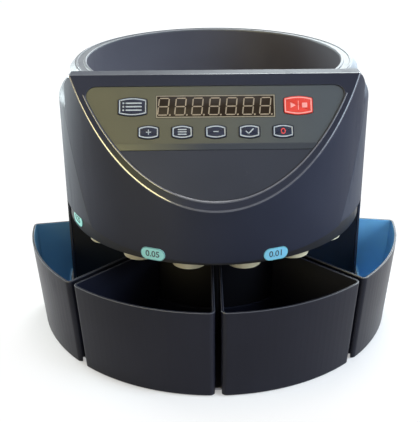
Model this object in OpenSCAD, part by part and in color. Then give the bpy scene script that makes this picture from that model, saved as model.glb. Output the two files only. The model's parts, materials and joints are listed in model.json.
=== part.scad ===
// Counter-top coin counting machine with a round hopper, a sloped control panel and four coin cups.
// Millimetres, +Z up, front towards -Y. The origin lies on the table, under the middle of the box.

/* [Cups] */
// Outer radius of the ring of cups, at the rims
cup_ring_r = 177.5; // [170:0.5:185]
// Height of the cup rims above the table
cup_rim_z = 86; // [70:1:95]
// How much smaller the ring of cups is at the foot
cup_taper = 6.8; // [2:0.1:9]
// Gap between neighbouring cups
cup_gap = 5; // [3:0.5:8]
// Thickness of the cup walls
cup_wall = 2.2; // [1.6:0.1:3]
// Thickness of the cup floors
cup_floor = 2.5; // [1.5:0.1:4]
// Rounding of the front cups' upright edges
cup_corner_r = 5; // [2:0.5:8]
// Rounding of the side cups' upright edges
side_corner_r = 4.5; // [4:0.5:12]
// Lean of the side cups' rear walls, their outer ends forward
back_lean = 10; // [0:1:12]

/* [Head] */
// Radius of the round head and of the rear housing
head_r = 141.5; // [138:0.5:144]
// Wall of the hood and of the rear shell
head_wall = 2.5; // [2:0.1:3]
// Height of the head's top deck
head_top_z = 233; // [230:1:238]
// Rounding between the head's side and its top deck
shoulder_r = 13; // [8:1:15]
// Height of the hood's lower edge at the front
hood_edge_z = 112; // [108:1:116]
// Rise of the hood's lower edge per millimetre towards the back
hood_edge_rise = 0.2; // [0.1:0.05:0.25]
// Height of the lower edge at the sides
side_edge_z = 124; // [120:1:128]

/* [Brow] */
// Height of the flat brow over the head's top deck
brow_rise = 20.6; // [18:0.2:22]
// Distance from the head's axis forward to the back of the brow
brow_back = 58.8; // [56:0.2:61]
// Rounding of the brow's two ends
brow_end_r = 30; // [20:1:36]
// Half the width of the brow's flat top
brow_half_w = 121; // [115:1:125]

/* [Control panel] */
// Slope of the control panel against the table
panel_slope = 54.05; // [50:0.5:58]
// Height of the brow over the panel's lowest point on the front
panel_rise = 94.4; // [91:0.2:98]
// Radius of the recess that holds the panel's plates, seen from above
recess_r = 136.4; // [130:0.5:138]
// Depth of the recess
recess_depth = 2.4; // [1.6:0.1:3]
// Distance up the slope to the recess's top edge
recess_top = 106.7; // [104:0.5:109]
// Rounding of the recess's two upper corners
recess_corner_r = 8; // [4:1:12]
// Distance up the slope to the foot of the control overlay
overlay_foot = 57; // [55:0.5:58]
// Thickness of the control overlay
overlay_t = 1.2; // [0.8:0.1:1.5]
// Height of the trim strip under the overlay, along the slope
strip_h = 5.5; // [3:0.5:8]
// Thickness of the trim strip
strip_t = 2.2; // [1.2:0.1:2.4]
// Thickness of the plain plate below the strip
lower_trim_t = 1.6; // [0.8:0.1:2]

/* [Display and keys] */
// Width of the display window
window_w = 98.5; // [90:0.5:100]
// Height of the display window
window_h = 19.7; // [16:0.1:21]
// Distance up the slope to the middle of the display window
window_v = 89; // [87:0.5:91]
// Distance up the slope to the middle of the row of small keys
key_row_v = 67; // [65:0.5:69]
// Distance between the small keys' middles
key_pitch = 27.6; // [22:0.1:30]
// Width of a small key
small_key_w = 16.9; // [12:0.1:18]
// Height of a small key
small_key_h = 11.5; // [8:0.1:13]
// Distance from the middle to the report key and to the start key
large_key_u = 68.3; // [66:0.1:71]
// Width of a large key
large_key_w = 23.6; // [18:0.1:24]
// Height of a large key
large_key_h = 16; // [12:0.1:18]
// How far a key's face stands over the overlay
key_rise = 0.8; // [0.4:0.1:1]
// Travel of a key
key_travel = 0.6; // [0.3:0.1:0.8]

/* [Hopper] */
// Radius of the hopper's mouth
mouth_r = 114.5; // [108:0.5:116]
// Radius of the hopper's skirt
skirt_r = 130; // [128:0.5:134]
// Height of the hopper's rim over the head's top deck
rim_rise = 17.8; // [15:0.2:20]
// Radius of the hopper's outlet over the coin disc
outlet_r = 84; // [70:1:88]
// Wall of the hopper
hopper_wall = 2.4; // [1.6:0.1:3]
// Distance from the head's axis back to the hopper's hinge
hinge_back = 146; // [145:0.5:150]
// Radius of the hinge barrels
barrel_r = 6.5; // [5:0.5:7]
// Radius of the hinge pin
hinge_pin_r = 2; // [1.5:0.1:3]

/* [Coin outlets] */
// Radius of the circle on which the coin spouts stand
spout_circle_r = 118.5; // [115:0.5:119]
// Outer radius of a coin spout
spout_r = 15; // [13:0.1:15.5]
// Wall of a coin spout
spout_wall = 2; // [1:0.1:3]
// Height of the spouts' tips
spout_tip_z = 101.5; // [98:0.5:106]
// Height of the lower edge of the band under the hood
band_foot_z = 109; // [106:0.5:111]
// Narrowest channel of the sorter ring
first_channel_w = 17.5; // [15:0.5:18]
// How much wider each next channel is
channel_step = 1.6; // [0.5:0.1:1.6]

/* [Sorter] */
// Height of the sorter deck's top face
deck_z = 150; // [146:1:154]
// Thickness of the sorter deck
deck_t = 4; // [3:0.5:5]
// Radius of the coin disc
disc_r = 98; // [92:0.5:99]
// Thickness of the coin disc
disc_t = 2.8; // [2:0.1:3.2]
// Thickness of the sorter ring
ring_t = 4.2; // [3.8:0.1:5]

/* [Drive] */
// Radius of the drive shaft
shaft_r = 4; // [3:0.5:5]
// Gear module, in millimetres of diameter per tooth
gear_module = 1.25; // [1:0.05:1.3]
// Teeth of the drive gear
gear_teeth = 42; // [36:1:44]
// Teeth of the motor's pinion
pinion_teeth = 18; // [17:1:20]
// Width of the gears
gear_w = 8; // [5:1:9]
// Radius of the motor
motor_r = 18.5; // [15:0.5:20]
// Length of the motor
motor_len = 65; // [40:1:70]
// Radius of the motor's shaft
motor_shaft_r = 3; // [2:0.5:3.5]

/* [Base] */
// Height of the rubber feet
foot_h = 3; // [2:0.5:4]
// Thickness of the base plate
base_t = 2; // [1.5:0.5:3]
// Radius of the base plate under the cups
base_r = 165; // [150:1:166]
// Radius of the round column between the cups
column_r = 78; // [76:0.5:80]
// Distance from the head's axis forward to the rear housing's front wall
column_face = 27; // [24:1:30]

/* [Hidden] */
$fn = 96;
// Sliding gap between a moving piece and what lies beside it
slide_gap = 0.3;
// Gap between a shaft or pin and the bore it turns in
turn_gap = 0.05;
// Gap round a piece that is fixed in a hole
seat_gap = 0.1;
// Gap round the hinge pin in the rear shell's ears
pin_fit = 0.02;
// Overshoot of a cut past the face it opens
over = 1;
// Size of the boxes that cut the whole model in two
far = 400;

rear_reach = hinge_back + barrel_r;
axis_y = (cup_ring_r - rear_reach) / 2;

base_z = foot_h;
floor_z = base_z + base_t;
cup_seat_z = floor_z + slide_gap;
cup_foot_z = 1.2;
cup_clear = 2;
// Top of the cups' low inner wall, above which the housing closes them
low_wall_z = 34;
skirt_gap = 2.8;

deck_foot_z = deck_z - deck_t;
outlet_plate_t = 2.5;
outlet_plate_z = 115;
band_r = head_r - head_wall - 2 * seat_gap;
band_wall = 2;
spout_count = 6;
spout_azimuths = [for (i = [0:spout_count - 1]) 22.5 * (i - (spout_count - 1) / 2)];

brow_z = head_top_z + brow_rise;
rim_z = head_top_z + rim_rise;
panel_foot_z = brow_z - panel_rise;

seam_foot_y = -89;
seam_foot_z = 127;
seam_lean = 0.374;

panel_wall = 2.5;
overlay_w = -recess_depth + overlay_t;
key_face_w = overlay_w + key_rise;
key_flange_t = 1;
key_flange_w = -recess_depth - panel_wall - slide_gap - key_flange_t;
switch_h = 4.3;
switch_size = 6;
switch_knob_h = 0.8;
switch_knob_r = 1.7;
switch_w = key_flange_w - key_travel - seat_gap;
board_t = 1.6;
board_w = switch_w - switch_h;
board_half_u = 93;
board_foot_v = overlay_foot - 0.5;
board_top_v = recess_top - 0.7;
key_bow = 2;
key_round = 1.2;
key_flange_edge = 1.2;

funnel_foot_z = deck_z + 10;
chord_y = -brow_back + 0.8;
chord_foot_y = chord_y + 18;
skirt_foot_z = head_top_z + slide_gap;
// The rim's flat ring and the slope round it
rim_flat_w = 10.5;
rim_slope_h = 5;
hole_r = mouth_r + hopper_wall + 1.6;

disc_z = deck_z + 0.8;
disc_top_z = disc_z + disc_t;
ring_top_z = deck_z + ring_t;
ring_r = band_r - 4;
cover_t = 2;
cover_lap = 6;

gear_r = gear_module * gear_teeth / 2;
pinion_r = gear_module * pinion_teeth / 2;
gear_distance = gear_r + pinion_r;
bracket_z = 90;
bracket_t = 3;
gear_z = bracket_z + bracket_t + 3;
bearing_r = 11;
bearing_w = 7;
block_r = 16;
block_foot_z = 108;
block_flange_r = 26;
block_flange_t = 6;
post_r = 5;
post_circle_r = 62;
post_azimuths = [45, 135, 225, 315];
screw_r = 1.5;
screw_head_r = 3;
screw_head_h = 2;

bay_y = 131;
bay_half_w = 52;
bay_foot_z = 16;
bay_top_z = 52;
bay_mid_z = (bay_foot_z + bay_top_z) / 2;
inlet_x = -28;
switch_x = 8;
fuse_x = 34;
rocker_tilt = 9;

// Everything below is drawn about the head's axis, which at_axis puts in its place.
module at_axis() translate([0, axis_y, 0]) children();

// Azimuth is measured from the front, positive towards +X.
module at_azimuth(azimuth, r, z = 0) rotate([0, 0, azimuth]) translate([0, -r, z]) children();

// On the panel u runs to the right, v up the slope and w out of the face.
module on_panel(u = 0, v = 0, w = 0)
  translate([0, -head_r, panel_foot_z]) rotate([panel_slope, 0, 0]) translate([u, v, w]) children();

module tube(r, bore, h) difference() {
  cylinder(r = r, h = h);
  translate([0, 0, -over]) cylinder(r = bore, h = h + 2 * over);
}

module half_behind(y) translate([-far, y, -far]) cube([2 * far, far, 2 * far]);

module centred_box(size, z = 0) translate([-size[0] / 2, -size[1] / 2, z]) cube(size);

function arc(x, y, r, from, to, steps = 8) =
  [for (i = [0:steps]) let (a = from + (to - from) * i / steps) [x + r * cos(a), y + r * sin(a)]];

function mirrored(points) = [for (i = [len(points) - 1:-1:0]) [-points[i][0], points[i][1]]];

// Screw with its head on top, its shank reaching down from z = 0
module screw(shank) union() {
  cylinder(r = screw_head_r, h = screw_head_h, $fn = 32);
  translate([0, 0, -shank]) cylinder(r = screw_r, h = shank + 0.5, $fn = 32);
}

// Base

module base_outline() {
  circle(r = head_r);
  intersection() {
    circle(r = base_r, $fn = 180);
    translate([-far, -far]) square([2 * far, far - cup_gap / 2]);
  }
}

case_screw_azimuths = [115, 150, 210, 245];
case_boss_circle_r = head_r - head_wall - 7;
foot_azimuths = [40, 140, 220, 320];
foot_circle_r = 120;
foot_r = 8;
foot_peg_r = 3;

module base_plate() color("dimgray") at_axis() difference() {
  translate([0, 0, base_z]) linear_extrude(base_t) base_outline();
  for (a = foot_azimuths)
    at_azimuth(a, foot_circle_r, base_z - over) cylinder(r = foot_peg_r, h = base_t + 2 * over);
  for (a = post_azimuths)
    at_azimuth(a, post_circle_r, base_z - over) cylinder(r = screw_r + seat_gap, h = base_t + 2 * over);
  for (a = case_screw_azimuths)
    at_azimuth(a, case_boss_circle_r, base_z - over) cylinder(r = screw_r + seat_gap, h = base_t + 2 * over);
}

module rubber_feet() color("black") at_axis() for (a = foot_azimuths) at_azimuth(a, foot_circle_r) union() {
  cylinder(r1 = foot_r - 1, r2 = foot_r, h = foot_h);
  translate([0, 0, foot_h - 0.5]) cylinder(r = foot_peg_r - seat_gap, h = base_t + 0.5 - 0.2);
}

// Screws up through the base plate
module rising_screws(azimuths, circle_r, shank) for (a = azimuths)
  at_azimuth(a, circle_r, base_z) mirror([0, 0, 1]) screw(shank);

post_pilot_h = 14;
module base_screws() color("silver") at_axis()
  rising_screws(post_azimuths, post_circle_r, base_t + post_pilot_h - over);

module case_screws() color("silver") at_axis()
  rising_screws(case_screw_azimuths, case_boss_circle_r, base_t + post_pilot_h - over);

// Column and rear housing

module column_outline(inset = 0) {
  circle(r = column_r - inset);
  intersection() {
    circle(r = band_r);
    translate([-far, -column_face + inset]) square([2 * far, far]);
  }
}

module front_column() color("black") at_axis() translate([0, 0, floor_z])
  linear_extrude(outlet_plate_z - floor_z) intersection() {
    difference() {
      column_outline();
      column_outline(head_wall);
    }
    translate([-far, -far]) square([2 * far, far - column_face + head_wall]);
  }

module head_profile(r, top, foot, shoulder) rotate_extrude($fn = 180)
  polygon(concat([[0, foot], [r, foot]], arc(r - shoulder, top - shoulder, shoulder, 0, 90), [[0, top]]));

module head_shell() difference() {
  head_profile(head_r, head_top_z, floor_z, shoulder_r);
  head_profile(head_r - head_wall, head_top_z - head_wall, floor_z - over, shoulder_r - head_wall);
}

// The hopper drops through this hole, which is cut straight behind the brow.
module hopper_hole() intersection() {
  translate([0, 0, head_top_z - 2 * shoulder_r]) cylinder(r = hole_r, h = far);
  half_behind(-brow_back);
}

// Everything in front of the leaning seam between hood and rear shell
module before_seam(gap = 0) rotate([90, 0, 90]) translate([0, 0, -far]) linear_extrude(2 * far)
  polygon([
    [-far, -far], [seam_foot_y - gap - seam_lean * (seam_foot_z + far), -far],
    [seam_foot_y - gap + seam_lean * (far - seam_foot_z), far], [-far, far]
  ]);

module below_hood_edge() {
  translate([0, -head_r, hood_edge_z]) rotate([atan(hood_edge_rise), 0, 0])
    translate([-far, -far, -far]) cube([2 * far, 2 * far, far]);
}

module below_side_edge() translate([-far, -far, -far]) cube([2 * far, far - column_face, far + side_edge_z]);

vent_w = 3;
vent_h = 34;
vent_z = 168;
vent_count = 13;
ear_x = 18.5;
ear_w = 12;

module hinge_ears() for (side = [-1, 1]) translate([side * (ear_x + ear_w / 2), 0, 0]) union() {
  translate([0, hinge_back, head_top_z]) rotate([0, 90, 0]) translate([0, 0, -ear_w / 2])
    cylinder(r = barrel_r, h = ear_w);
  translate([-ear_w / 2, head_r - shoulder_r - over, head_top_z - 2 * barrel_r])
    cube([ear_w, hinge_back - head_r + shoulder_r + over + barrel_r / 2, 2 * barrel_r]);
}

module rear_shell() color("darkslategray") at_axis() difference() {
  union() {
    difference() {
      union() {
        head_shell();
        hinge_ears();
      }
      head_profile(head_r - head_wall, head_top_z - head_wall, floor_z - over, shoulder_r - head_wall);
      before_seam();
      below_side_edge();
    }
    intersection() {
      head_profile(head_r, head_top_z, floor_z, shoulder_r);
      translate([-bay_half_w - head_wall, bay_y - head_wall, bay_foot_z - head_wall])
        cube([2 * (bay_half_w + head_wall), far, bay_top_z - bay_foot_z + 2 * head_wall]);
    }
    for (a = case_screw_azimuths) intersection() {
      head_profile(head_r - over, head_top_z, floor_z, shoulder_r);
      at_azimuth(a, case_boss_circle_r, floor_z) union() {
        cylinder(r = post_r, h = 2 * post_pilot_h);
        translate([-head_wall / 2, -2 * post_r, 0]) cube([head_wall, 2 * post_r, 2 * post_pilot_h]);
      }
    }
  }
  hopper_hole();
  translate([-bay_half_w, bay_y, bay_foot_z]) cube([2 * bay_half_w, far, bay_top_z - bay_foot_z]);
  for (a = case_screw_azimuths)
    at_azimuth(a, case_boss_circle_r, floor_z - over)
      cylinder(r = screw_r + turn_gap, h = post_pilot_h + over);
  for (i = [0:vent_count - 1])
    at_azimuth(180 + (i - (vent_count - 1) / 2) * 4, head_r, vent_z)
      translate([-vent_w / 2, -over, 0]) cube([vent_w, 2 * head_wall + over, vent_h]);
  at_bay(inlet_x) bay_cut(inlet_body);
  at_bay(switch_x) bay_cut(switch_body);
  at_bay(fuse_x) translate([0, 0, -head_wall - over])
    cylinder(r = fuse_r + seat_gap, h = head_wall + 2 * over);
  translate([-far, hinge_back, head_top_z]) rotate([0, 90, 0])
    cylinder(r = hinge_pin_r + pin_fit, h = 2 * far);
}

inlet_body = [27, 20];
switch_body = [15, 21];
fuse_r = 6.2;

// On the bay's wall, with z out of the back and y upwards
module at_bay(x) translate([x, bay_y, bay_mid_z]) rotate([90, 0, 180]) children();

module bay_cut(body)
  centred_box([body[0] + 2 * seat_gap, body[1] + 2 * seat_gap, head_wall + 2 * over], -head_wall - over);

// Hood with the control panel

// Outline of the brow seen from the front, for the side towards +X
function brow_side(inset) = concat(
  [[brow_half_w, brow_z - inset]],
  arc(brow_half_w - brow_end_r * cos(45), brow_z - brow_end_r * sin(45), brow_end_r - inset, 45, 0)
);

// Everything beyond the brow's rounded end, on the side towards +X
module beyond_brow(inset) {
  side = [for (p = brow_side(inset)) if (p[1] <= brow_z - inset) p];
  last = side[len(side) - 1];
  translate([0, -brow_back - inset, 0]) rotate([90, 0, 0]) linear_extrude(far)
    polygon(concat([[last[0] + far, last[1]], [last[0] + far, far], [side[1][0] - over, far]],
      [[side[1][0] - over, side[1][1] + over]], [for (i = [1:len(side) - 1]) side[i]]));
}

// Everything above the deck and outside the shoulder, behind the brow
module above_deck(inset) intersection() {
  rotate_extrude($fn = 180) polygon(concat(
    [[0, head_top_z - inset]], arc(head_r - shoulder_r, head_top_z - shoulder_r, shoulder_r - inset, 90, 0),
    [[far, head_top_z - shoulder_r], [far, far], [0, far]]
  ));
  half_behind(-brow_back - inset);
}

module hood_form(inset = 0) difference() {
  translate([0, 0, floor_z]) cylinder(r = head_r - inset, h = brow_z - inset - floor_z, $fn = 180);
  for (side = [0, 1]) mirror([side, 0, 0]) beyond_brow(inset);
  above_deck(inset);
}

module before_panel(w = 0) on_panel(w = w) translate([-far, -far, 0]) cube([2 * far, 2 * far, far]);

// Half width of the recess at distance v up the slope
function recess_u(v) = sqrt(pow(recess_r, 2) - pow(head_r - v * cos(panel_slope), 2));
recess_foot = (head_r - recess_r) / cos(panel_slope);
recess_corner_v = recess_top - recess_corner_r;
recess_lean = atan(
  cos(panel_slope) * (head_r - recess_corner_v * cos(panel_slope)) / recess_u(recess_corner_v));
recess_corner_u = recess_u(recess_corner_v) - recess_corner_r / cos(recess_lean);
recess_end_v = recess_corner_v - recess_corner_r * sin(recess_lean);
recess_end_azimuth = asin(recess_u(recess_end_v) / recess_r);

// Outline of the smile-shaped recess: the round front seen up the slope, with two rounded corners
module smile(inset = 0) {
  steps = 24;
  side = concat(
    [for (i = [0:steps]) let (a = recess_end_azimuth * i / steps)
      [(recess_r - inset) * sin(a), (head_r - (recess_r - inset) * cos(a)) / cos(panel_slope)]],
    arc(recess_corner_u, recess_corner_v, recess_corner_r - inset, -recess_lean, 90)
  );
  polygon(concat(side, mirrored([for (i = [1:len(side) - 1]) side[i]])));
}

module smile_between(low, high, inset = seat_gap) intersection() {
  smile(inset);
  translate([-far / 2, low]) square([far, high - low]);
}

// Key outline with upright sides, bowed top and bottom and rounded corners, grown by edge all round
module key_outline(size, edge = 0) {
  w = size[0] / 2 + edge;
  h = size[1] / 2 + edge;
  bow_r = (w * w + key_bow * key_bow) / (2 * key_bow);
  flat_w = w - key_round;
  lean = asin(flat_w / bow_r);
  corner_y = h - bow_r + (bow_r - key_round) * cos(lean);
  half = concat([for (i = [0:3]) let (a = 90 - lean * i / 4) [bow_r * cos(a), h - bow_r + bow_r * sin(a)]],
    arc(flat_w, corner_y, key_round, 90 - lean, 0, 3));
  top = concat(mirrored([for (i = [1:len(half) - 1]) half[i]]), half);
  polygon(concat(top, [for (i = [len(top) - 1:-1:0]) [top[i][0], -top[i][1]]]));
}

small_key = [small_key_w, small_key_h];
large_key = [large_key_w, large_key_h];
// Each key's place along the panel, up the slope, and its size
key_places = [
  [-large_key_u, window_v, large_key], [large_key_u, window_v, large_key],
  [-2 * key_pitch, key_row_v, small_key], [-key_pitch, key_row_v, small_key], [0, key_row_v, small_key],
  [key_pitch, key_row_v, small_key], [2 * key_pitch, key_row_v, small_key]
];

module key_holes(low, high) for (place = key_places) on_panel(place[0], place[1], low)
  linear_extrude(high - low) key_outline(place[2], slide_gap);

module window_outline(edge = 0) translate([-window_w / 2 - edge, window_v - window_h / 2 - edge])
  square([window_w + 2 * edge, window_h + 2 * edge]);

window_ledge = 1.2;
display_edge = 1;
board_boss_r = 3;
board_screw_r = 1.15;
board_screw_len = 5;
board_screw_head_r = 2.2;
board_screw_head_h = 1.6;
board_boss_u = board_half_u - 5;
board_boss_v = [board_foot_v + 18.5, board_top_v - 5];
board_boss_places = [for (u = [-board_boss_u, board_boss_u]) for (v = board_boss_v) [u, v]];

module front_hood() color([0.27, 0.28, 0.33]) at_axis() difference() {
  union() {
    difference() {
      hood_form();
      difference() {
        hood_form(head_wall);
        before_panel(-recess_depth - panel_wall);
      }
    }
    for (place = board_boss_places) on_panel(place[0], place[1], board_w)
      cylinder(r = board_boss_r, h = -board_w - recess_depth - panel_wall / 2);
  }
  before_panel();
  on_panel(w = -recess_depth) linear_extrude(far) smile();
  below_hood_edge();
  translate([-far, -far, -far]) cube([2 * far, 2 * far, far + hood_edge_z - over]);
  difference() {
    translate([-far, -far, -far]) cube([2 * far, 2 * far, 2 * far]);
    before_seam();
  }
  hopper_hole();
  key_holes(-recess_depth - panel_wall - over, 0);
  on_panel(w = -recess_depth - panel_wall - over) linear_extrude(panel_wall + 2 * over)
    window_outline(-window_ledge);
  for (place = board_boss_places) on_panel(place[0], place[1], board_w - over)
    cylinder(r = board_screw_r + turn_gap, h = -board_w - recess_depth - panel_wall + over / 2);
}

module control_overlay() color([0.4, 0.39, 0.32]) at_axis() difference() {
  on_panel(w = -recess_depth) linear_extrude(overlay_t) difference() {
    smile_between(overlay_foot, recess_top);
    window_outline(seat_gap);
  }
  key_holes(-recess_depth - over, overlay_w + over);
}

module trim_strip() color([0.5, 0.48, 0.36]) at_axis() on_panel(w = -recess_depth)
  linear_extrude(strip_t) smile_between(overlay_foot - strip_h, overlay_foot);

module lower_trim() color([0.3, 0.31, 0.33]) at_axis() on_panel(w = -recess_depth)
  linear_extrude(lower_trim_t) smile_between(recess_foot, overlay_foot - strip_h);

module display_window() color([0.25, 0.17, 0.1]) at_axis() on_panel(w = -recess_depth)
  linear_extrude(overlay_t) window_outline();

module display_module() color([0.85, 0.82, 0.75]) at_axis() on_panel(w = board_w)
  linear_extrude(-board_w - recess_depth - panel_wall - slide_gap) window_outline(-display_edge);

module control_board() color("darkgreen") at_axis() difference() {
  on_panel(w = board_w - board_t) linear_extrude(board_t)
    translate([-board_half_u, board_foot_v]) square([2 * board_half_u, board_top_v - board_foot_v]);
  for (place = board_boss_places) on_panel(place[0], place[1], board_w - board_t - over)
    cylinder(r = board_screw_r + seat_gap, h = board_t + 2 * over);
}

module key_switches() color("black") at_axis() for (place = key_places)
  on_panel(place[0], place[1], board_w) union() {
    centred_box([switch_size, switch_size, switch_h - switch_knob_h]);
    cylinder(r = switch_knob_r, h = switch_h);
  }

module board_screws() color("silver") at_axis() for (place = board_boss_places)
  on_panel(place[0], place[1], board_w - board_t) mirror([0, 0, 1]) union() {
    cylinder(r = board_screw_head_r, h = board_screw_head_h, $fn = 32);
    translate([0, 0, -board_screw_len])
      cylinder(r = board_screw_r, h = board_screw_len + board_screw_head_h / 2, $fn = 32);
  }

module key(index) {
  place = key_places[index];
  at_axis() on_panel(place[0], place[1], key_flange_w) union() {
    linear_extrude(key_flange_t) key_outline(place[2], key_flange_edge);
    linear_extrude(key_face_w - key_flange_w) key_outline(place[2]);
  }
}

module key_report() color("navy") key(0);
module key_start() color([0.88, 0.3, 0.25]) key(1);
module key_plus() color("navy") key(2);
module key_batch() color("navy") key(3);
module key_minus() color("navy") key(4);
module key_set() color("navy") key(5);
module key_clear() color("navy") key(6);

// Coin outlets under the head

module outlet_ring() color("black") at_axis() difference() {
  intersection() {
    rotate_extrude($fn = 180) polygon([
      [column_r - head_wall, outlet_plate_z], [band_r - band_wall, outlet_plate_z],
      [band_r - band_wall, band_foot_z], [band_r, band_foot_z], [band_r, deck_foot_z],
      [band_r - band_wall, deck_foot_z], [band_r - band_wall, outlet_plate_z + outlet_plate_t],
      [column_r - head_wall, outlet_plate_z + outlet_plate_t]
    ]);
    translate([-far, -far, 0]) cube([2 * far, far - column_face + head_wall, far]);
  }
  translate([-far, -column_face, 0]) cube([2 * far, far, outlet_plate_z]);
  for (a = spout_azimuths)
    at_azimuth(a, spout_circle_r, outlet_plate_z - over)
      cylinder(r = spout_r + seat_gap, h = outlet_plate_t + 2 * over);
}

module coin_spouts() color("wheat") at_axis() for (a = spout_azimuths)
  at_azimuth(a, spout_circle_r, spout_tip_z) tube(spout_r, spout_r - spout_wall, deck_foot_z - spout_tip_z);

label_w = 22;
label_h = 11;
label_t = 0.6;
// The front labels' height over the hood's edge, and the side label's depth under the side edge
front_label_rise = 4.5;
side_label_drop = 6;
// Azimuth and height of each label, and the radius it sits on
label_places = [
  [-22.2, hood_edge_z + front_label_rise, head_r], [20.3, hood_edge_z + front_label_rise, head_r],
  [-63.6, side_edge_z - side_label_drop, band_r]
];

module label(azimuth, z, r) intersection() {
  translate([0, 0, z - label_h]) tube(r + label_t, r, 2 * label_h);
  at_azimuth(azimuth, r - label_h, z) rotate([90, 0, 0]) linear_extrude(2 * label_h) union() {
    square([label_w - label_h, label_h], center = true);
    for (side = [-1, 1]) translate([side * (label_w - label_h) / 2, 0]) circle(r = label_h / 2, $fn = 48);
  }
}

module value_labels() color([0.65, 0.85, 0.85]) at_axis()
  for (place = label_places) label(place[0], place[1], place[2]);

// Sorter deck

module deck_plate() color("gray") at_axis() translate([0, 0, deck_foot_z]) difference() {
  cylinder(r = band_r, h = deck_t);
  translate([0, 0, -over]) cylinder(r = bearing_r + 1, h = deck_t + 2 * over);
  for (a = spout_azimuths)
    at_azimuth(a, spout_circle_r, -over) cylinder(r = spout_r - spout_wall, h = deck_t + 2 * over);
  deck_screw_holes(-over, deck_t + 2 * over, screw_r + seat_gap);
  deck_screw_holes(deck_t - screw_head_h, screw_head_h + over, screw_head_r + seat_gap);
}

block_screw_azimuths = [0, 120, 240];
block_screw_circle_r = 21;

module deck_screw_holes(z, h, r) {
  for (a = post_azimuths) at_azimuth(a, post_circle_r, z) cylinder(r = r, h = h);
  for (a = block_screw_azimuths) at_azimuth(a, block_screw_circle_r, z) cylinder(r = r, h = h);
}

module deck_screws() color("silver") at_axis() translate([0, 0, deck_z - screw_head_h]) {
  for (a = post_azimuths) at_azimuth(a, post_circle_r) screw(post_pilot_h - over);
  for (a = block_screw_azimuths) at_azimuth(a, block_screw_circle_r) screw(block_flange_t);
}

channel_widths = [for (i = [0:spout_count - 1]) first_channel_w + channel_step * (spout_count - 1 - i)];

module sorter_ring() color("silver") at_axis() translate([0, 0, deck_z]) difference() {
  tube(ring_r, disc_r + 1, ring_t);
  for (i = [0:spout_count - 1]) let (w = channel_widths[i])
    at_azimuth(spout_azimuths[i], spout_circle_r, -over) linear_extrude(ring_t + 2 * over) union() {
      circle(r = w / 2);
      translate([-w / 2, 0]) square([w, spout_circle_r - disc_r + over]);
    }
}

module sorter_cover() color([0.7, 0.75, 0.8, 0.6]) at_axis() translate([0, 0, ring_top_z])
  tube(ring_r, disc_r - cover_lap, cover_t);

sensor_size = [10, 14, 7];
module coin_sensors() color("black") at_axis() for (a = spout_azimuths)
  at_azimuth(a, spout_circle_r, ring_top_z + cover_t) centred_box(sensor_size);

// Frame posts and drive

module posts(h) difference() {
  for (a = post_azimuths) at_azimuth(a, post_circle_r) cylinder(r = post_r, h = h);
  children();
}

module post_pilots(z) for (a = post_azimuths)
  at_azimuth(a, post_circle_r, z) cylinder(r = screw_r + turn_gap, h = post_pilot_h + over);

module lower_posts() color("silver") at_axis() translate([0, 0, floor_z])
  posts(bracket_z - floor_z) post_pilots(-over);

module upper_posts() color("silver") at_axis() translate([0, 0, bracket_z + bracket_t])
  posts(deck_foot_z - bracket_z - bracket_t) post_pilots(deck_foot_z - bracket_z - bracket_t - post_pilot_h);

module bearing_block() color("gainsboro") at_axis() difference() {
  union() {
    translate([0, 0, block_foot_z]) cylinder(r = block_r, h = deck_foot_z - block_foot_z);
    translate([0, 0, deck_foot_z - block_flange_t]) cylinder(r = block_flange_r, h = block_flange_t);
  }
  translate([0, 0, block_foot_z - over]) cylinder(r = bearing_r - 2, h = far);
  translate([0, 0, block_foot_z - over]) cylinder(r = bearing_r + turn_gap, h = bearing_w + over);
  translate([0, 0, deck_foot_z - bearing_w]) cylinder(r = bearing_r + turn_gap, h = bearing_w + over);
  for (a = block_screw_azimuths)
    at_azimuth(a, block_screw_circle_r, deck_foot_z - block_flange_t - over)
      cylinder(r = screw_r + turn_gap, h = block_flange_t + 2 * over);
}

module bearings() color("silver") at_axis() for (z = [block_foot_z, deck_foot_z - bearing_w])
  translate([0, 0, z]) tube(bearing_r, shaft_r + turn_gap, bearing_w);

module drive_shaft() color("silver") at_axis()
  translate([0, 0, gear_z - 2]) cylinder(r = shaft_r, h = disc_top_z - gear_z + 2);

// One flank point of an involute tooth, turned from the tooth's middle
function involute(base_r, roll, half) =
  let (turn = half - (roll - atan(roll * PI / 180)), r = base_r / cos(atan(roll * PI / 180)))
  [r * cos(turn), r * sin(turn)];

module gear_outline(teeth) {
  pitch_r = gear_module * teeth / 2;
  base_r = pitch_r * cos(20);
  tip_r = pitch_r + 0.9 * gear_module;
  root_r = pitch_r - 1.15 * gear_module;
  backlash = 0.12 * gear_module;
  // Half angle of a tooth at its base circle
  half = 90 / teeth + (tan(20) * 180 / PI - 20) - backlash / pitch_r * 180 / PI;
  tip_roll = sqrt(pow(tip_r / base_r, 2) - 1) * 180 / PI;
  flank = [for (i = [0:4]) involute(base_r, tip_roll * i / 4, half)];
  root = [root_r * cos(half), root_r * sin(half)];
  side = concat([root], flank);
  tooth = concat([for (p = side) [p[0], -p[1]]], [for (i = [len(side) - 1:-1:0]) side[i]]);
  polygon([for (n = [0:teeth - 1]) let (a = 360 * n / teeth) for (p = tooth)
    [p[0] * cos(a) - p[1] * sin(a), p[0] * sin(a) + p[1] * cos(a)]]);
}

module drive_gear() color("ivory") at_axis() translate([0, 0, gear_z]) rotate([0, 0, 90]) difference() {
  union() {
    linear_extrude(gear_w) gear_outline(gear_teeth);
    cylinder(r = shaft_r + 4, h = gear_w + 3);
  }
  translate([0, 0, -over]) cylinder(r = shaft_r, h = gear_w + 5);
  for (i = [0:5]) rotate([0, 0, 60 * i + 30]) translate([gear_r * 0.62, 0, -over])
    cylinder(r = gear_r * 0.16, h = gear_w + 2 * over);
}

module at_motor() translate([0, gear_distance, 0]) children();

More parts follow.
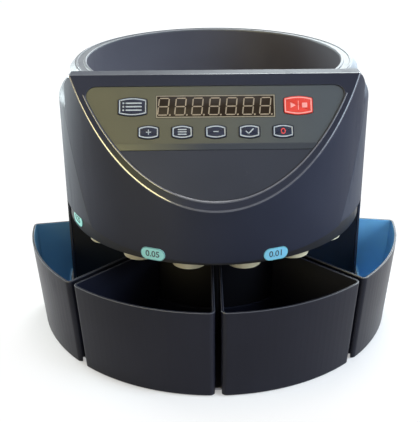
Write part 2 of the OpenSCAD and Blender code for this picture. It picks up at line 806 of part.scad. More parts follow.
module motor_pinion() color("ivory") at_axis() at_motor() translate([0, 0, gear_z])
  rotate([0, 0, -90 + 180 / pinion_teeth]) difference() {
    linear_extrude(gear_w) gear_outline(pinion_teeth);
    translate([0, 0, -over]) cylinder(r = motor_shaft_r, h = gear_w + 2 * over);
  }

motor_shaft_depth = 6;
module motor_shaft() color("silver") at_axis() at_motor()
  translate([0, 0, bracket_z - motor_shaft_depth])
    cylinder(r = motor_shaft_r, h = gear_z + gear_w - bracket_z + motor_shaft_depth + 1);

motor_screw_circle_r = 12;
motor_screw_azimuths = [90, 270];
motor_screw_h = 4;
motor_hub_h = 4;
module drive_motor() color("dimgray") at_axis() at_motor() difference() {
  translate([0, 0, bracket_z - motor_len]) union() {
    cylinder(r = motor_r, h = motor_len);
    translate([0, 0, -motor_hub_h]) cylinder(r = motor_r / 3, h = motor_hub_h + over);
  }
  translate([0, 0, bracket_z - motor_shaft_depth]) cylinder(r = motor_shaft_r + turn_gap, h = far);
  for (a = motor_screw_azimuths) at_azimuth(a, motor_screw_circle_r, bracket_z - motor_screw_h - over)
    cylinder(r = screw_r + turn_gap, h = far);
}

module motor_screws() color("silver") at_axis() at_motor() for (a = motor_screw_azimuths)
  at_azimuth(a, motor_screw_circle_r, bracket_z + bracket_t) screw(bracket_t + motor_screw_h);

module motor_bracket() color("lightgray") at_axis() difference() {
  translate([0, 0, bracket_z]) cylinder(r = post_circle_r + post_r + 2, h = bracket_t);
  at_motor() translate([0, 0, bracket_z - over]) cylinder(r = motor_shaft_r + 3, h = bracket_t + 2 * over);
  at_motor() for (a = motor_screw_azimuths) at_azimuth(a, motor_screw_circle_r, bracket_z - over)
    cylinder(r = screw_r + seat_gap, h = bracket_t + 2 * over);
}

rib_from_r = 30;
rib_to_r = disc_r - 22;
rib_w = 4;
rib_h = 1.6;
rib_count = 6;
module coin_disc() color("darkorange") at_axis() difference() {
  union() {
    translate([0, 0, disc_z]) cylinder(r = disc_r, h = disc_t);
    for (i = [0:rib_count - 1]) rotate([0, 0, 360 * i / rib_count])
      translate([rib_from_r, -rib_w / 2, disc_z]) cube([rib_to_r - rib_from_r, rib_w, disc_t + rib_h]);
  }
  translate([0, 0, disc_z - over]) cylinder(r = shaft_r, h = disc_t + 2 * over);
}

cap_r = 16;
cap_h = 12;
module disc_cap() color("dimgray") at_axis() translate([0, 0, disc_top_z]) difference() {
  rotate_extrude() polygon(concat([[0, 0]], arc(0, 0, cap_r, 0, asin(cap_h / cap_r), 6), [[0, cap_h]]));
  translate([0, 0, -over]) cylinder(r = screw_r + seat_gap, h = far);
  translate([0, 0, cap_h - screw_head_h]) cylinder(r = screw_head_r + seat_gap, h = far);
}

module disc_screw() color("silver") at_axis() translate([0, 0, disc_top_z + cap_h - screw_head_h])
  screw(cap_h - screw_head_h - 0.2);

// Hopper

function bowl_r(z) =
  let (s = (z - funnel_foot_z) / (rim_z - funnel_foot_z)) mouth_r - (mouth_r - outlet_r) * pow(1 - s, 1.8);

module behind_chord(inset) rotate([90, 0, 90]) translate([0, 0, -far]) linear_extrude(2 * far) polygon([
  [chord_y + inset, far], [chord_y + inset, head_top_z], [chord_foot_y + inset, funnel_foot_z],
  [chord_foot_y + inset, 0], [far, 0], [far, far]
]);

knuckle_x = ear_x - slide_gap;
arm_gap = 0.4;
module hopper() color([0.35, 0.36, 0.42]) at_axis() difference() {
  steps = 12;
  crest_z = rim_z - rim_slope_h;
  bowl = [for (i = [0:steps]) let (z = funnel_foot_z + (rim_z - funnel_foot_z) * i / steps) [bowl_r(z), z]];
  wall = [for (p = bowl) [p[0] + hopper_wall, p[1]]];
  union() {
    intersection() {
      rotate_extrude($fn = 180) polygon(concat(
        [[0, funnel_foot_z]], [for (i = [0:steps - 1]) wall[i]], [[wall[steps][0], crest_z - hopper_wall],
        [skirt_r - hopper_wall, crest_z - hopper_wall], [skirt_r - hopper_wall, skirt_foot_z],
        [skirt_r, skirt_foot_z], [skirt_r, crest_z], [mouth_r + rim_flat_w, rim_z], [0, rim_z]]
      ));
      behind_chord(0);
    }
    translate([-knuckle_x, hinge_back, head_top_z]) rotate([0, 90, 0])
      cylinder(r = barrel_r, h = 2 * knuckle_x);
    translate([-knuckle_x, skirt_r - 2 * hopper_wall, skirt_foot_z + arm_gap])
      cube([2 * knuckle_x, hinge_back - skirt_r + 2 * hopper_wall, barrel_r - slide_gap - arm_gap]);
  }
  intersection() {
    rotate_extrude($fn = 180)
      polygon(concat([[0, funnel_foot_z - over], [outlet_r, funnel_foot_z - over]], bowl,
        [[mouth_r, rim_z + over], [0, rim_z + over]]));
    behind_chord(hopper_wall);
  }
  translate([-far, hinge_back, head_top_z]) rotate([0, 90, 0])
    cylinder(r = hinge_pin_r + turn_gap, h = 2 * far);
}

module hinge_pin() color("silver") at_axis() translate([-ear_x - ear_w, hinge_back, head_top_z])
  rotate([0, 90, 0]) cylinder(r = hinge_pin_r, h = 2 * (ear_x + ear_w));

// Cups

// Ring sector between two sides, each of which may lean about its outer corner
module cup_sector(from, to, leans) intersection() {
  circle(r = cup_ring_r, $fn = 180);
  rotate(from) translate([cup_gap / 2, -cup_ring_r]) rotate(leans[0]) translate([0, -far])
    square([2 * far, 2 * far]);
  rotate(to) translate([-cup_gap / 2, -cup_ring_r]) rotate(leans[1]) translate([-2 * far, -far])
    square([2 * far, 2 * far]);
}

// The column and the housing's side, which the cups stand clear of
module cup_keepout(gap) {
  circle(r = column_r + gap);
  intersection() {
    circle(r = head_r + gap, $fn = 180);
    translate([-far, -column_face - gap]) square([2 * far, far]);
  }
}

// Tapered cup body up to a height, its walls drawn in by inset
module cup_block(from, to, corner, leans, inset, top) {
  narrow = 1 - cup_taper / cup_ring_r;
  widen = 1 + (1 / narrow - 1) * (top - cup_foot_z) / (cup_rim_z - cup_foot_z);
  translate([0, 0, cup_foot_z]) linear_extrude(top - cup_foot_z, scale = widen) scale(narrow)
    offset(r = corner - inset, $fn = 48) offset(delta = -corner) cup_sector(from, to, leans);
}

// Space kept off the housing and the column by gap, between two heights
module off_housing(gap, foot, top, reach = far) translate([0, 0, foot]) linear_extrude(top - foot)
  difference() {
    circle(r = reach);
    cup_keepout(gap);
  }

// Each cup's inner wall is low, and the housing closes the cup above it
module cup(from, to, corner, leans = [0, 0]) at_axis() difference() {
  intersection() {
    cup_block(from, to, corner, leans, 0, cup_rim_z);
    off_housing(cup_clear, 0, far);
  }
  intersection() {
    cup_block(from, to, corner, leans, cup_wall, cup_rim_z + over);
    union() {
      off_housing(cup_clear + cup_wall, cup_seat_z + cup_floor, low_wall_z + 1);
      off_housing(0, low_wall_z, far, far + 1);
    }
  }
  translate([0, 0, cup_foot_z - over])
    cylinder(r = base_r + skirt_gap, h = cup_seat_z - cup_foot_z + over, $fn = 180);
}

module cup_left() color([0.3, 0.3, 0.28]) cup(-90, -45, side_corner_r, [back_lean, 0]);
module cup_front_left() color([0.2, 0.2, 0.23]) cup(-45, 0, cup_corner_r);
module cup_front_right() color([0.2, 0.2, 0.23]) cup(0, 45, cup_corner_r);
module cup_right() color([0.25, 0.28, 0.35]) cup(45, 90, side_corner_r, [0, -back_lean]);

// Electronics in the rear housing

main_board_size = [70, 46];
main_board_at = [-57, 75];
standoff_h = 8;
main_board_z = floor_z + standoff_h;

module main_board() color("darkgreen") at_axis() translate([main_board_at[0], main_board_at[1], 0])
  centred_box([main_board_size[0], main_board_size[1], board_t], main_board_z);

standoff_r = 3;
standoff_edge = 5;
module board_standoffs() color("ivory") at_axis()
  translate([main_board_at[0], main_board_at[1], floor_z]) for (x = [-1, 1]) for (y = [-1, 1])
    translate([x * (main_board_size[0] / 2 - standoff_edge), y * (main_board_size[1] / 2 - standoff_edge), 0])
      cylinder(r = standoff_r, h = standoff_h);

// Place and size of each part on the main board
board_part_boxes = [
  [[-24, 14], [14, 10, 10]], [[-6, 14], [14, 10, 10]], [[14, 12], [18, 14, 4]],
  [[-20, -10], [22, 9, 6]], [[8, -8], [12, 12, 3]], [[27, -10], [8, 20, 9]]
];

// Place and radius of each capacitor
board_cans = [[[-30, 0], 4], [[20, -2], 3]];

module board_parts() color("black") at_axis()
  translate([main_board_at[0], main_board_at[1], main_board_z + board_t]) {
    for (part = board_part_boxes) translate([part[0][0], part[0][1], 0]) centred_box(part[1]);
    for (can = board_cans) translate([can[0][0], can[0][1], 0]) cylinder(r = can[1], h = 3.5 * can[1]);
  }

core_size = [56, 28, 47];
core_at = [48, 80];
core_leg = 9;
coil_h = core_size[2] - 2 * core_leg;
coil_overhang = 7;

module transformer() color("dimgray") at_axis() translate([core_at[0], core_at[1], floor_z]) difference() {
  centred_box(core_size);
  for (side = [-1, 1]) translate([side * (core_size[0] / 2 - 1.5 * core_leg), 0, 0])
    centred_box([core_leg, core_size[1] + 2 * over, coil_h], core_leg);
}

module transformer_coil() color("goldenrod") at_axis() translate([core_at[0], core_at[1], floor_z + core_leg])
  difference() {
    centred_box([
      core_size[0] - 2 * core_leg - 2 * seat_gap, core_size[1] + 2 * coil_overhang, coil_h - 2 * seat_gap
    ], seat_gap);
    centred_box([
      core_size[0] - 4 * core_leg + 2 * seat_gap, core_size[1] + 2 * seat_gap, coil_h + 2 * over
    ], -over);
  }

flange_t = 2;
inlet_lip = 2;
inlet_depth = 18;
socket_size = [22, 15];
socket_depth = 17;
socket_pin_r = 1;
socket_pin_h = 12;
socket_pin_tail = 5;
// Where the three pins stand in the socket
socket_pin_places = [[-7, 2], [0, -2], [7, 2]];

module mains_inlet() color("black") at_axis() at_bay(inlet_x) difference() {
  union() {
    centred_box([inlet_body[0] + 2 * inlet_lip, inlet_body[1] + 2 * inlet_lip, flange_t]);
    centred_box([inlet_body[0], inlet_body[1], inlet_depth + over], -inlet_depth);
  }
  centred_box([socket_size[0], socket_size[1], socket_depth + over], flange_t - socket_depth);
  for (p = socket_pin_places) translate([p[0], p[1], -inlet_depth - over])
    cylinder(r = socket_pin_r + seat_gap, h = inlet_depth + over);
}

module inlet_pins() color("gold") at_axis() at_bay(inlet_x) for (p = socket_pin_places)
  translate([p[0], p[1], -inlet_depth - socket_pin_tail])
    cylinder(r = socket_pin_r, h = inlet_depth + socket_pin_tail + flange_t - socket_depth + socket_pin_h);

switch_lip = 1.5;
switch_depth = 16;
well_depth = 11;
rocker_size = [10.4, 16.2];
// Rocker thickness at its middle and at its two ends, out of and into the switch
rocker_out = 3;
rocker_end_out = 5;
rocker_end_in = 2;
rocker_in = 5;
rocker_sink = 2;
rocker_swing = 0.9;
trunnion_r = 1.2;
trunnion_in = 1;

module switch_frame() color("black") at_axis() at_bay(switch_x) difference() {
  union() {
    centred_box([switch_body[0] + 2 * switch_lip, switch_body[1] + 2 * switch_lip, flange_t]);
    centred_box([switch_body[0], switch_body[1], switch_depth + over], -switch_depth);
  }
  centred_box([
    rocker_size[0] + 2 * slide_gap, rocker_size[1] + 2 * rocker_swing, well_depth + flange_t + over
  ], -well_depth);
  translate([0, 0, -rocker_sink]) rotate([0, 90, 0])
    cylinder(r = trunnion_r + turn_gap, h = switch_body[0] - 2 * trunnion_in, center = true);
}

module rocker_switch() color("firebrick") at_axis() translate([switch_x, bay_y - rocker_sink, bay_mid_z])
  rotate([rocker_tilt, 0, 0]) union() {
    rotate([90, 0, 90]) translate([0, 0, -rocker_size[0] / 2]) linear_extrude(rocker_size[0])
      polygon([
        [rocker_out, 0], [rocker_end_out, rocker_size[1] / 2], [-rocker_end_in, rocker_size[1] / 2],
        [-rocker_in, 0], [-rocker_end_in, -rocker_size[1] / 2], [rocker_end_out, -rocker_size[1] / 2]
      ]);
    rotate([0, 90, 0])
      cylinder(r = trunnion_r, h = switch_body[0] - 2 * trunnion_in - 2 * slide_gap, center = true);
  }

fuse_depth = 20;
fuse_lip = 2;
fuse_cap_edge = 0.8;
fuse_cap_h = 5;
module fuse_holder() color("black") at_axis() at_bay(fuse_x) union() {
  translate([0, 0, -fuse_depth]) cylinder(r = fuse_r, h = fuse_depth + over);
  cylinder(r = fuse_r + fuse_lip, h = flange_t);
  cylinder(r = fuse_r - fuse_cap_edge, h = fuse_cap_h);
}

base_plate();
rubber_feet();
base_screws();
front_column();
rear_shell();
case_screws();
front_hood();
control_overlay();
trim_strip();
lower_trim();
display_window();
display_module();
control_board();
key_switches();
board_screws();
key_report();
key_start();
key_plus();
key_batch();
key_minus();
key_set();
key_clear();
outlet_ring();
coin_spouts();
value_labels();
deck_plate();
sorter_ring();
sorter_cover();
coin_sensors();
lower_posts();
upper_posts();
deck_screws();
bearing_block();
bearings();
drive_shaft();
drive_gear();
motor_bracket();
drive_motor();
motor_shaft();
motor_pinion();
motor_screws();
coin_disc();
disc_cap();
disc_screw();
hopper();
hinge_pin();
cup_left();
cup_front_left();
cup_front_right();
cup_right();
main_board();
board_standoffs();
board_parts();
transformer();
transformer_coil();
mains_inlet();
inlet_pins();
switch_frame();
rocker_switch();
fuse_holder();
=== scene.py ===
import bpy
import json
from math import atan2, cos, degrees, hypot, pi, radians, sin
from mathutils import Matrix, Vector

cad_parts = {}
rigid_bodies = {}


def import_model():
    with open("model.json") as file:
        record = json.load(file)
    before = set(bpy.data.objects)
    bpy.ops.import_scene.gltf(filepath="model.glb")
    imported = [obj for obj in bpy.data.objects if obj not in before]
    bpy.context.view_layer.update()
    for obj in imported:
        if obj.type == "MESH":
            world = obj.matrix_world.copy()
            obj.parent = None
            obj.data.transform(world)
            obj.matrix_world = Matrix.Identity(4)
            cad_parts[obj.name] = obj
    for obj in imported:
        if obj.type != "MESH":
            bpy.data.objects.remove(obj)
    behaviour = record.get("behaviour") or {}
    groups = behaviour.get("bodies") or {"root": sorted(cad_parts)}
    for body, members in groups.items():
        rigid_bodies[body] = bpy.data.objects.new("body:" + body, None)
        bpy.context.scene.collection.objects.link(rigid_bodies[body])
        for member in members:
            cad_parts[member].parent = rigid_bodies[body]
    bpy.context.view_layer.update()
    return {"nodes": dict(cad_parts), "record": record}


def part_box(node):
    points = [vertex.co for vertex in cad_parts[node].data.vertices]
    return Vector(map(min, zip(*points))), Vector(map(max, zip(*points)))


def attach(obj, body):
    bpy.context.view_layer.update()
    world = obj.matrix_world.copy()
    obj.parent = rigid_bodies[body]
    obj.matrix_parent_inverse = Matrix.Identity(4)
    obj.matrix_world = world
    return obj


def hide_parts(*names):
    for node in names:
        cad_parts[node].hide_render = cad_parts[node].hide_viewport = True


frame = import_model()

mm = 0.001
nodes = frame["nodes"]
bodyOf = {node: body for body, names in frame["record"]["behaviour"]["bodies"].items() for node in names}

# The head's axis stands upright through the middle of the sorter deck.
deckLow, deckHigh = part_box("deck_plate")
axisY = (deckLow[1] + deckHigh[1]) / 2
head = dict(radius=141.5 * mm)
panel = dict(slope=radians(54.05), footZ=159.2 * mm, recessRadius=136.4 * mm)


# Picking, placing and finishing

def clearPicks():
    if bpy.context.object and bpy.context.object.mode != "OBJECT":
        bpy.ops.object.mode_set(mode="OBJECT")
    bpy.ops.object.select_all(action="DESELECT")


def pick(*pieces):
    clearPicks()
    for piece in pieces:
        piece.select_set(True)
    bpy.context.view_layer.objects.active = pieces[-1]


def editWhole(piece):
    pick(piece)
    bpy.ops.object.mode_set(mode="EDIT")
    bpy.ops.mesh.select_all(action="SELECT")


def applyModifiers(piece):
    pick(piece)
    for modifier in list(piece.modifiers):
        bpy.ops.object.modifier_apply(modifier=modifier.name)


def settle(piece, matrix=None):
    # the place goes into the mesh, so that patterns don't slide
    pick(piece)
    bpy.ops.object.transform_apply(location=True, rotation=True, scale=True)
    if matrix is not None:
        piece.data.transform(matrix)
    return piece


def smooth(piece, angle):
    pick(piece)
    bpy.ops.object.shade_smooth_by_angle(angle=radians(angle))


def finishPiece(piece, body, material):
    piece.data.materials.clear()
    piece.data.materials.append(material)
    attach(piece, body)


def onPanel(u=0.0, v=0.0, w=0.0):
    # u to the right, v up the slope, w out of the panel
    foot = Matrix.Translation((0, axisY - head["radius"], panel["footZ"]))
    return foot @ Matrix.Rotation(panel["slope"], 4, "X") @ Matrix.Translation((u, v, w))


toPanel = onPanel().inverted()
panelOut = onPanel().to_3x3() @ Vector((0, 0, 1))


def overPanel(point):
    # height of a point over the panel's plane
    return (toPanel @ point).z


def joinPieces(name, pieces):
    pick(*pieces)
    if len(pieces) > 1:
        bpy.ops.object.join()
    bpy.context.object.name = name
    return bpy.context.object


# Shader sums

class Wire:
    def __init__(self, tree, socket):
        self.tree = tree
        self.socket = socket

    def node(self, kind, settings, inputs, output=0):
        # one node of any type, its settings first, then its sockets' values or links
        made = self.tree.nodes.new(kind)
        for key, value in settings.items():
            setattr(made, key, value)
        for key, value in inputs.items():
            if isinstance(value, Wire):
                self.tree.links.new(value.socket, made.inputs[key])
            else:
                made.inputs[key].default_value = value
        return Wire(self.tree, made.outputs[output])

    def maths(self, operation, *values):
        return self.node("ShaderNodeMath", {"operation": operation}, dict(enumerate(values)))

    def __add__(self, other):
        return self.maths("ADD", self, other)

    def __sub__(self, other):
        return self.maths("SUBTRACT", self, other)

    def __rsub__(self, other):
        return self.maths("SUBTRACT", other, self)

    def __mul__(self, other):
        return self.maths("MULTIPLY", self, other)

    def __pow__(self, other):
        return self.maths("POWER", self, other)

    __radd__ = __add__
    __rmul__ = __mul__

    def noise(self, scale, detail, roughness=0.5, stretch=(1, 1, 1)):
        place = self.node("ShaderNodeMapping", {}, {"Vector": self, "Scale": stretch})
        return self.node("ShaderNodeTexNoise", {}, {"Vector": place, "Scale": scale, "Detail": detail,
                                                    "Roughness": roughness})

    def split(self, axis):
        return self.node("ShaderNodeSeparateXYZ", {}, {0: self}, output="XYZ".index(axis))

    def between(self, low, high, lowTo=0.0, highTo=1.0, smoothly=True):
        kind = "SMOOTHSTEP" if smoothly else "LINEAR"
        return self.node("ShaderNodeMapRange", {"interpolation_type": kind, "clamp": True},
                         {"Value": self, "From Min": low, "From Max": high, "To Min": lowTo, "To Max": highTo})

    def mixColours(self, first, second):
        # this wire is the share of the second colour
        first, second = (colour if isinstance(colour, Wire) else (*colour, 1) for colour in (first, second))
        return self.node("ShaderNodeMix", {"data_type": "RGBA"}, {0: self, 6: first, 7: second}, output=2)


def srgb(r, g, b):
    def linear(c):
        c = c / 255
        return c / 12.92 if c <= 0.04045 else ((c + 0.055) / 1.055) ** 2.4
    return tuple(linear(c) for c in (r, g, b))


socketOf = dict(colour="Base Color", roughness="Roughness", metallic="Metallic", normal="Normal",
                coat="Coat Weight", coatRoughness="Coat Roughness", specular="Specular IOR Level")


class Finish:
    # a material with its Principled shader and the Object coordinates as a wire
    def __init__(self, name, **values):
        self.material = bpy.data.materials.new(name)
        self.material.use_nodes = True
        self.tree = self.material.node_tree
        self.shader = self.tree.nodes["Principled BSDF"]
        coordinates = self.tree.nodes.new("ShaderNodeTexCoord")
        self.place = Wire(self.tree, coordinates.outputs["Object"])
        self.set(**values)

    def set(self, **values):
        for key, value in values.items():
            socket = self.shader.inputs[socketOf[key]]
            if isinstance(value, Wire):
                self.tree.links.new(value.socket, socket)
            else:
                socket.default_value = (*value, 1) if isinstance(value, tuple) else value

    def bumped(self, height, distance):
        # the last step of a finish: its relief, and the material is ready
        self.set(normal=self.place.node("ShaderNodeBump", {}, {"Height": height, "Distance": distance}))
        return self.material


# Finishes: colours of plastics and inks are sRGB from 0 to 255, those of metals linear from 0 to 1

moulding = dict(driftSize=9, drift=(0.35, 0.65), rubSize=60, rub=(0.52, 0.75), rubStretch=(1, 1, 0.25),
                glossGrain=0.05, coarseSize=0.3, coarse=0.6)  # sizes are noise scales, the coarse one a share


def mouldedPlastic(name, colour, shade, roughness=0.42, grain=0.03, grainSize=1400, specular=0.5, across=None,
                   reach=(-0.1, 0.1), upTo=None, rubbing=0.1):
    # satin moulded plastic: fine spark texture, slow colour drift, a few faint rub marks
    made = Finish(name, specular=specular)
    place = made.place
    colour, shade = srgb(*colour), srgb(*shade)
    if across:
        # the colour turns from the first pair at the left to this pair at the right, and with upTo also
        # upwards; the overlay, the recess frame, the strip and the side cups' insides use this for painted
        # light from one side
        side = place.split("X").between(*reach)
        if upTo:
            side = side.maths("MAXIMUM", side, place.split("Z").between(*upTo))
        colour, shade = (side.mixColours(left, srgb(*right)) for left, right in zip((colour, shade), across))
    drift = place.noise(moulding["driftSize"], 3).between(*moulding["drift"])
    rub = place.noise(moulding["rubSize"], 4, 0.7, moulding["rubStretch"]).between(*moulding["rub"])
    fine = place.noise(grainSize, 2)
    coarse = place.noise(grainSize * moulding["coarseSize"], 1)
    made.set(colour=drift.mixColours(colour, shade),
             roughness=fine * moulding["glossGrain"] + rub * rubbing + (roughness - moulding["glossGrain"]))
    return made.bumped(fine + coarse * moulding["coarse"], grain * mm)


brushing = dict(lineSize=500, cloudSize=25, cloud=(0.3, 0.7), darker=0.85, lineGloss=0.2, cloudGloss=0.08,
                relief=0.02 * mm)


def brushedMetal(name, colour, roughness=0.32, stretch=(1, 1, 30)):
    # fine lines along one way, and a slow cloud of darker metal
    made = Finish(name, metallic=1.0)
    lines = made.place.noise(brushing["lineSize"], 3, 0.6, stretch)
    cloud = made.place.noise(brushing["cloudSize"], 3)
    dark = tuple(c * brushing["darker"] for c in colour)
    spread = (brushing["lineGloss"] + brushing["cloudGloss"]) / 2
    made.set(colour=cloud.between(*brushing["cloud"]).mixColours(colour, dark),
             roughness=lines * brushing["lineGloss"] + cloud * brushing["cloudGloss"] + (roughness - spread))
    return made.bumped(lines, brushing["relief"])


inking = dict(size=700, cover=(0.3, 0.7), roughness=0.39, gloss=0.12, relief=0.01 * mm)


def printedInk(name, colour, shade):
    # thin printed or painted marks with slightly uneven cover
    made = Finish(name)
    cover = made.place.noise(inking["size"], 3).between(*inking["cover"])
    made.set(colour=cover.mixColours(srgb(*colour), srgb(*shade)),
             roughness=cover * inking["gloss"] + inking["roughness"])
    return made.bumped(cover, inking["relief"])


rubbed = dict(size=160, share=(0.35, 0.7), gloss=0.14, coatRoughness=0.12, grainSize=1100, relief=0.008 * mm)


def rubbedHighlitCorner(name, colour, shade, roughness, coat):
    # moulded corners smoother than the faces beside them, rubbed at random, and painted a little brighter as a
    # painted highlight
    made = Finish(name, coat=coat, coatRoughness=rubbed["coatRoughness"])
    rub = made.place.noise(rubbed["size"], 4, 0.65).between(*rubbed["share"])
    made.set(colour=rub.mixColours(srgb(*colour), srgb(*shade)),
             roughness=rub * rubbed["gloss"] + (roughness - rubbed["gloss"] / 2))
    return made.bumped(made.place.noise(rubbed["grainSize"], 2), rubbed["relief"])


finishes = {
    "casing": mouldedPlastic("hoodPlastic", (33, 36, 49), (28, 31, 44), 0.5, specular=0.12),
    # the rear shell is painted a little lighter than the hood: a painted sheen from the light at the left back
    "casing_light": mouldedPlastic("rearShellPaintedSheen", (44, 48, 60), (39, 43, 55), 0.55, specular=0.2),
    "cup_plastic": mouldedPlastic("cupPlastic", (29, 29, 38), (25, 25, 33), 0.36, specular=0.12),
    # painted warm reflection: the overlay is olive at the left and grey at the right
    "overlay": mouldedPlastic("overlayPaintedReflection", (96, 90, 64), (90, 85, 62), 0.25, 0.01, specular=0.22,
                              across=((72, 76, 78), (68, 72, 75)), rubbing=0.03),
    "trim": mouldedPlastic("trimPlastic", (46, 48, 56), (41, 43, 51), 0.28, 0.01, specular=0.2, rubbing=0.02),
    "window": mouldedPlastic("windowFilter", (40, 29, 18), (35, 26, 16), 0.2, 0.004, specular=0.12,
                             rubbing=0.02),
    "display": mouldedPlastic("displayBlock", (40, 36, 32), (34, 31, 28)),
    "key_navy": mouldedPlastic("navyKey", (27, 33, 52), (23, 28, 46), 0.35, 0.01, specular=0.2),
    "key_red": mouldedPlastic("redKey", (218, 66, 52), (210, 58, 46), 0.35, 0.01, specular=0.2),
    "spout_cream": mouldedPlastic("spoutPlastic", (205, 195, 165), (190, 180, 150), 0.4, 0.02),
    "label": mouldedPlastic("labelFace", (150, 218, 208), (142, 210, 202), 0.4, 0.004,
                            across=((100, 166, 196), (93, 159, 190))),
    "black_part": mouldedPlastic("blackPlastic", (24, 24, 29), (20, 20, 24), specular=0.2),
    "clear_cover": mouldedPlastic("coverPlastic", (150, 156, 160), (140, 146, 150), 0.2, 0.004),
    "steel": brushedMetal("steelPart", (0.55, 0.55, 0.57)),
    "aluminium": brushedMetal("aluminiumPart", (0.68, 0.68, 0.7), 0.38),
    "dark_metal": brushedMetal("darkMetal", (0.18, 0.18, 0.2), 0.4),
    "brass": brushedMetal("brassPin", (0.72, 0.52, 0.22), 0.3),
    "nylon": mouldedPlastic("nylonPart", (222, 218, 205), (212, 208, 194), 0.45, 0.02),
    "disc_orange": mouldedPlastic("discPlastic", (196, 118, 52), (184, 108, 46), 0.4, 0.02),
    "circuit": mouldedPlastic("circuitBoard", (26, 84, 50), (20, 70, 42), 0.35, 0.01, 600),
    "coil": brushedMetal("coilWire", (0.6, 0.28, 0.1), 0.35, (1, 1, 12)),
    "rubber": mouldedPlastic("footRubber", (26, 26, 27), (22, 22, 23), 0.75, 0.05, 900),
}
# painted highlight: the casing's rolled corners are lighter than its faces
casingEdgeHighlight = rubbedHighlitCorner("casingEdgeHighlight", (56, 58, 68), (48, 50, 60), 0.18, 1.0)
# painted warm reflection: the frame round the recess is olive at its lower left and the hood's colour elsewhere
framePaintedReflection = mouldedPlastic("framePaintedReflection", (64, 61, 43), (58, 56, 40), 0.5, specular=0.13,
                            across=((33, 36, 49), (28, 31, 44)), reach=(-0.09, -0.01), upTo=(0.185, 0.215))
# painted highlight: the cups' rims are lighter than their walls
cupRimHighlight = rubbedHighlitCorner("cupRimHighlight", (54, 56, 64), (44, 46, 54), 0.4, 0.12)
hopperPlastic = mouldedPlastic("hopperPlastic", (80, 80, 87), (74, 74, 81), 0.62, 0.02, specular=0.08)
rimPlastic = mouldedPlastic("rimPlastic", (62, 66, 74), (56, 60, 68), 0.46, 0.02)
# painted light: the side cups' insides are blue where light falls into them, lighter at the right
paintedLitInside = mouldedPlastic("paintedLitInside", (112, 168, 206), (103, 157, 195), 0.4, 0.02,
                            across=((136, 206, 250), (126, 196, 240)))
# painted warm reflection: the strip is olive at its left and dark grey at its right
stripPaintedReflection = mouldedPlastic("stripPaintedReflection", (108, 102, 70), (100, 95, 68), 0.25, 0.01, specular=0.22,
                              across=((52, 55, 60), (48, 51, 57)), reach=(-0.09, 0.0), rubbing=0.03)
# painted shade: the front cups' insides are dark and dull
paintedShadeInside = mouldedPlastic("paintedShadeInside", (27, 29, 41), (22, 24, 35), 0.6, 0.02, specular=0.08)
slotOf = {part["node"]: part["material_slot"] for part in frame["record"]["subparts"]}
for name, node in nodes.items():
    node.data.materials.clear()
    node.data.materials.append(finishes[slotOf[name]])
print("finishes laid on", len(nodes), "nodes")


# CAD pieces taken over with eased corners

def choose(piece, kind, test):
    # faces by their middle and normal, edges by their middle and direction; leaves edit mode on
    pick(piece)
    bpy.ops.object.mode_set(mode="EDIT")
    bpy.ops.mesh.select_mode(type=kind)
    bpy.ops.mesh.select_all(action="DESELECT")
    bpy.ops.object.mode_set(mode="OBJECT")
    mesh = piece.data
    if kind == "FACE":
        for face in mesh.polygons:
            face.select = bool(test(face.center, face.normal))
    else:
        for edge in mesh.edges:
            start, end = (mesh.vertices[index].co for index in edge.vertices)
            edge.select = bool(test((start + end) / 2, (end - start).normalized()))
    bpy.ops.object.mode_set(mode="EDIT")


def paint(piece, index):
    # gives the selected faces one of the piece's materials
    piece.active_material_index = index
    bpy.ops.object.material_slot_assign()


easing = dict(merge=0.003 * mm, flat=0.7, steps=2, creaseSteps=4, angle=35)  # flat and angle in degrees


def softCopy(node, name, edge, paintedEdgeHighlight=None, creases=()):
    # a copy with its flat faces made whole and its corners rounded takes the CAD piece's place
    pick(nodes[node])
    bpy.ops.object.duplicate()
    piece = bpy.context.object
    bpy.ops.object.parent_clear(type="CLEAR_KEEP_TRANSFORM")
    for key in list(piece.keys()):  # what the frame wrote on the CAD piece isn't copied
        del piece[key]
    piece.name = name
    settle(piece)
    editWhole(piece)
    bpy.ops.mesh.remove_doubles(threshold=easing["merge"])
    bpy.ops.mesh.dissolve_limited(angle_limit=radians(easing["flat"]))
    bpy.ops.object.mode_set(mode="OBJECT")
    if paintedEdgeHighlight:
        piece.data.materials.append(paintedEdgeHighlight)
    for test, width in creases:
        choose(piece, "EDGE", test)
        bpy.ops.mesh.bevel(offset=width, segments=easing["creaseSteps"], affect="EDGES", material=1)
        clearPicks()
    if edge:
        ease = piece.modifiers.new("ease", "BEVEL")
        ease.width, ease.segments = edge * mm, easing["steps"]
        ease.limit_method, ease.angle_limit = "ANGLE", radians(easing["angle"])
        ease.use_clamp_overlap = False
        ease.material = 1 if paintedEdgeHighlight else -1
        applyModifiers(piece)
    smooth(piece, easing["angle"])
    level = piece.modifiers.new("level", "WEIGHTED_NORMAL")
    level.keep_sharp = True
    applyModifiers(piece)
    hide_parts(node)
    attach(piece, bodyOf[node])
    return piece


